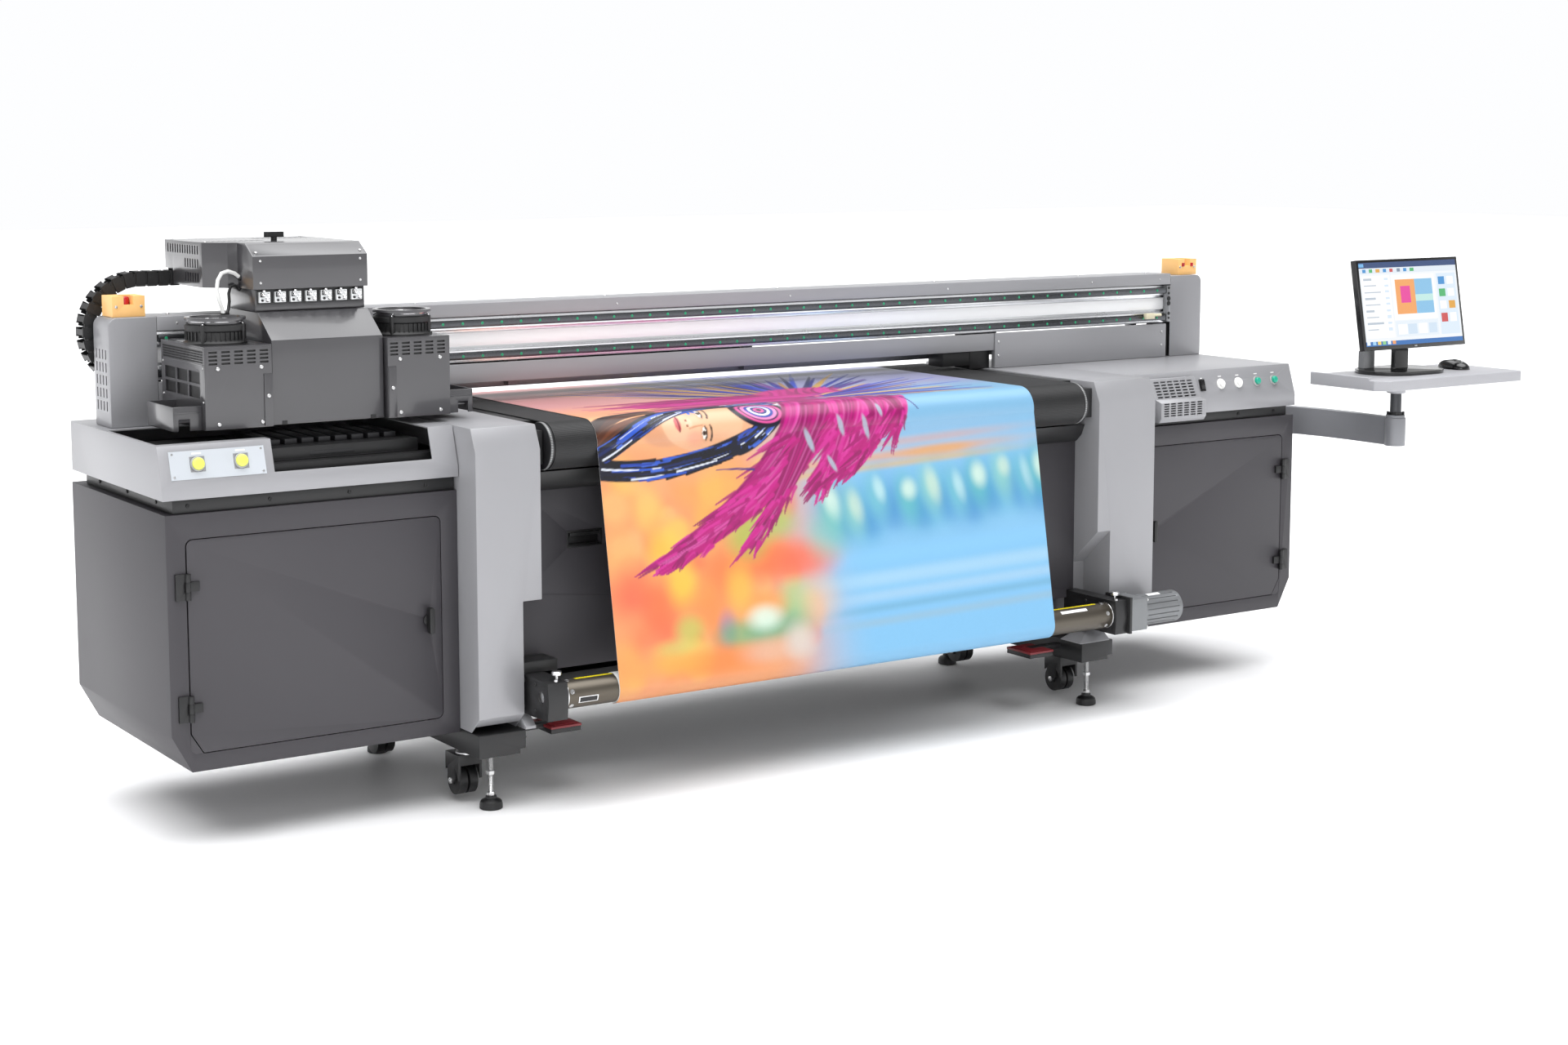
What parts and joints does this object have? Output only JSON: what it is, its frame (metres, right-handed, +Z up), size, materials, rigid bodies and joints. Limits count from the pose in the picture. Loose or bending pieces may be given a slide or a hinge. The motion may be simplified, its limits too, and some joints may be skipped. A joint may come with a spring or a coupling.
{
  "type": "hybrid flatbed printer",
  "caption": "Wide belt-fed flatbed printer with a print carriage on a gantry, film take-up and unwind shafts, side cabinets and a swing-out operator desk.",
  "frame": {"origin": "centre of the object's footprint on the floor", "axes": "+X to the right along the gantry, +Y from the operator's side to the back, +Z up"},
  "size_m": [4.43, 1.2878, 1.49],
  "materials": {
    "light_paint": "fine powder coat, light grey",
    "dark_paint": "fine powder coat, dark warm grey",
    "carriage_paint": "fine powder coat, dark grey",
    "black_paint": "semi-matt black",
    "belt_rubber": "ribbed conveyor belt",
    "roller_rubber": "matt",
    "printed_film": "printed film",
    "film_roll": "white film roll",
    "cast_aluminium": "bead blasted",
    "aluminium": "extruded, satin",
    "rail_steel": "ground",
    "anodised": "anodised brown-grey",
    "orange_plastic": "pale orange",
    "red_plastic": "red",
    "black_plastic": "moulded",
    "tank_plastic": "moulded",
    "foot_steel": "zinc plated",
    "yellow_button": "translucent cap",
    "white_button": "cap",
    "green_button": "cap",
    "printhead_metal": "machined",
    "chain_plastic": "moulded links",
    "hose_plastic": "flexible",
    "desk_paint": "smooth coat",
    "gloss_black": "moulded",
    "wheel_rubber": "tread"
  },
  "bodies": {
    "frame": {"base_frame": "black_paint", "cabinet_left": "dark_paint", "cabinet_right": "dark_paint", "top_cover_left": "light_paint", "top_cover_right": "light_paint", "column_left": "light_paint", "column_right": "light_paint", "body_panels": "dark_paint", "belt_table": "black_paint", "conveyor_belt": "belt_rubber", "media_web": "printed_film", "shaft_brackets": "black_paint", "takeup_motor": "cast_aluminium", "gantry_beam": "aluminium", "linear_rails": "rail_steel", "gantry_supports": "black_paint", "gantry_covers": "light_paint", "estop_boxes": "orange_plastic", "capping_station": "black_plastic", "hinge_brackets": "black_plastic", "cabinet_equipment": "tank_plastic"},
    "front_roller": {"front_roller": "roller_rubber"},
    "rear_roller": {"rear_roller": "roller_rubber"},
    "takeup_shaft": {"takeup_shaft": "anodised"},
    "unwind_roll": {"unwind_roll": "film_roll"},
    "left_door": {"door_left": "dark_paint"},
    "right_door": {"door_right": "dark_paint"},
    "left_door_handle": {"door_handle_left": "black_plastic"},
    "right_door_handle": {"door_handle_right": "black_plastic"},
    "levelling_feet": {"levelling_feet": "foot_steel"},
    "caster_fl": {"caster_fork_fl": "black_paint"},
    "wheel_fl": {"caster_wheel_fl": "wheel_rubber"},
    "caster_fr": {"caster_fork_fr": "black_paint"},
    "wheel_fr": {"caster_wheel_fr": "wheel_rubber"},
    "caster_rl": {"caster_fork_rl": "black_paint"},
    "wheel_rl": {"caster_wheel_rl": "wheel_rubber"},
    "caster_rr": {"caster_fork_rr": "black_paint"},
    "wheel_rr": {"caster_wheel_rr": "wheel_rubber"},
    "ink_button_1": {"ink_button_1": "yellow_button"},
    "ink_button_2": {"ink_button_2": "yellow_button"},
    "start_button": {"start_button": "white_button"},
    "stop_button": {"stop_button": "white_button"},
    "vacuum_button": {"vacuum_button": "green_button"},
    "lamp_button": {"lamp_button": "green_button"},
    "power_rocker": {"power_rocker": "black_plastic"},
    "estop_left": {"estop_button_left": "red_plastic"},
    "estop_right": {"estop_button_right": "red_plastic"},
    "carriage": {"carriage_plate": "rail_steel"},
    "print_unit": {"carriage_housing": "carriage_paint", "valve_rack": "carriage_paint", "carriage_hood": "carriage_paint", "lamp_housings": "carriage_paint", "printheads": "printhead_metal", "cable_chain": "chain_plastic", "carriage_hoses": "hose_plastic"},
    "desk_arm": {"desk_arm": "light_paint"},
    "desk": {"desk_tray": "desk_paint", "monitor_stand": "gloss_black"},
    "monitor": {"monitor": "gloss_black"},
    "mouse": {"computer_mouse": "gloss_black"}
  },
  "joints": [
    {"name": "front_roller_spin", "type": "hinge", "parent": "frame", "child": "front_roller", "pos_m": [-0.305, -0.274, 0.937], "axis": [1, 0, 0], "continuous": true},
    {"name": "rear_roller_spin", "type": "hinge", "parent": "frame", "child": "rear_roller", "pos_m": [-0.305, 0.466, 0.937], "axis": [1, 0, 0], "continuous": true},
    {"name": "takeup_spin", "type": "hinge", "parent": "frame", "child": "takeup_shaft", "pos_m": [-0.305, -0.404, 0.305], "axis": [1, 0, 0], "continuous": true},
    {"name": "unwind_spin", "type": "hinge", "parent": "frame", "child": "unwind_roll", "pos_m": [-0.305, 0.582, 0.305], "axis": [1, 0, 0], "continuous": true},
    {"name": "left_door_hinge", "type": "hinge", "parent": "frame", "child": "left_door", "pos_m": [-2.156, -0.233, 0.5], "axis": [0, 0, -1], "range_deg": [0, 110]},
    {"name": "right_door_hinge", "type": "hinge", "parent": "frame", "child": "right_door", "pos_m": [1.546, -0.233, 0.5], "axis": [0, 0, 1], "range_deg": [0, 90]},
    {"name": "left_handle_turn", "type": "hinge", "parent": "left_door", "child": "left_door_handle", "pos_m": [-1.52, -0.224, 0.505], "axis": [0, 1, 0], "range_deg": [0, 90]},
    {"name": "right_handle_turn", "type": "hinge", "parent": "right_door", "child": "right_door_handle", "pos_m": [0.975, -0.224, 0.505], "axis": [0, -1, 0], "range_deg": [0, 90]},
    {"name": "feet_extend", "type": "slide", "parent": "frame", "child": "levelling_feet", "axis": [0, 0, -1], "range_m": [0, 0.03]},
    {"name": "caster_swivel_fl", "type": "hinge", "parent": "frame", "child": "caster_fl", "pos_m": [-1.405, -0.194, 0.14], "axis": [0, 0, 1], "continuous": true},
    {"name": "wheel_roll_fl", "type": "hinge", "parent": "caster_fl", "child": "wheel_fl", "pos_m": [-1.405, -0.174, 0.058], "axis": [1, 0, 0], "continuous": true},
    {"name": "caster_swivel_fr", "type": "hinge", "parent": "frame", "child": "caster_fr", "pos_m": [0.675, -0.164, 0.14], "axis": [0, 0, 1], "continuous": true},
    {"name": "wheel_roll_fr", "type": "hinge", "parent": "caster_fr", "child": "wheel_fr", "pos_m": [0.675, -0.144, 0.058], "axis": [1, 0, 0], "continuous": true},
    {"name": "caster_swivel_rl", "type": "hinge", "parent": "frame", "child": "caster_rl", "pos_m": [-1.405, 0.316, 0.14], "axis": [0, 0, 1], "continuous": true},
    {"name": "wheel_roll_rl", "type": "hinge", "parent": "caster_rl", "child": "wheel_rl", "pos_m": [-1.405, 0.336, 0.058], "axis": [1, 0, 0], "continuous": true},
    {"name": "caster_swivel_rr", "type": "hinge", "parent": "frame", "child": "caster_rr", "pos_m": [0.675, 0.336, 0.14], "axis": [0, 0, 1], "continuous": true},
    {"name": "wheel_roll_rr", "type": "hinge", "parent": "caster_rr", "child": "wheel_rr", "pos_m": [0.675, 0.356, 0.058], "axis": [1, 0, 0], "continuous": true},
    {"name": "ink_button_1_press", "type": "slide", "parent": "frame", "child": "ink_button_1", "axis": [0, 0.956, -0.2933], "range_m": [0, 0.004], "stiffness_N_per_m": 500, "springref_m": -0.003},
    {"name": "ink_button_2_press", "type": "slide", "parent": "frame", "child": "ink_button_2", "axis": [0, 0.956, -0.2933], "range_m": [0, 0.004], "stiffness_N_per_m": 500, "springref_m": -0.003},
    {"name": "start_button_press", "type": "slide", "parent": "frame", "child": "start_button", "axis": [0, 0.956, -0.2933], "range_m": [0, 0.004], "stiffness_N_per_m": 500, "springref_m": -0.003},
    {"name": "stop_button_press", "type": "slide", "parent": "frame", "child": "stop_button", "axis": [0, 0.956, -0.2933], "range_m": [0, 0.004], "stiffness_N_per_m": 500, "springref_m": -0.003},
    {"name": "vacuum_button_press", "type": "slide", "parent": "frame", "child": "vacuum_button", "axis": [0, 0.956, -0.2933], "range_m": [0, 0.004], "stiffness_N_per_m": 500, "springref_m": -0.003},
    {"name": "lamp_button_press", "type": "slide", "parent": "frame", "child": "lamp_button", "axis": [0, 0.956, -0.2933], "range_m": [0, 0.004], "stiffness_N_per_m": 500, "springref_m": -0.003},
    {"name": "power_rocker_tip", "type": "hinge", "parent": "frame", "child": "power_rocker", "pos_m": [1.185, -0.2225, 0.953], "axis": [1, 0, 0], "range_deg": [-8, 8]},
    {"name": "estop_left_press", "type": "slide", "parent": "frame", "child": "estop_left", "axis": [0, 0, -1], "range_m": [0, 0.005], "stiffness_N_per_m": 600, "springref_m": -0.004},
    {"name": "estop_right_press", "type": "slide", "parent": "frame", "child": "estop_right", "axis": [0, 0, -1], "range_m": [0, 0.005], "stiffness_N_per_m": 600, "springref_m": -0.004},
    {"name": "carriage_travel", "type": "slide", "parent": "frame", "child": "carriage", "axis": [1, 0, 0], "range_m": [0, 2.7]},
    {"name": "carriage_lift", "type": "slide", "parent": "carriage", "child": "print_unit", "axis": [0, 0, 1], "range_m": [0, 0.05]},
    {"name": "desk_arm_swing", "type": "hinge", "parent": "frame", "child": "desk_arm", "pos_m": [1.621, 0.004, 0.798], "axis": [0, 0, 1], "range_deg": [-20, 80]},
    {"name": "desk_swivel", "type": "hinge", "parent": "desk_arm", "child": "desk", "pos_m": [1.745, -0.524, 0.925], "axis": [0, 0, 1], "range_deg": [-90, 60]},
    {"name": "monitor_tilt", "type": "hinge", "parent": "desk", "child": "monitor", "pos_m": [1.855, -0.437, 1.16], "axis": [-1, 0, 0], "range_deg": [-5, 20]},
    {"name": "mouse_slide", "type": "slide", "parent": "desk", "child": "mouse", "axis": [1, 0, 0], "range_m": [-0.03, 0.09]}
  ],
  "couplings": [
    {"joint": "rear_roller_spin", "follows": "front_roller_spin", "ratio": 1}
  ]
}
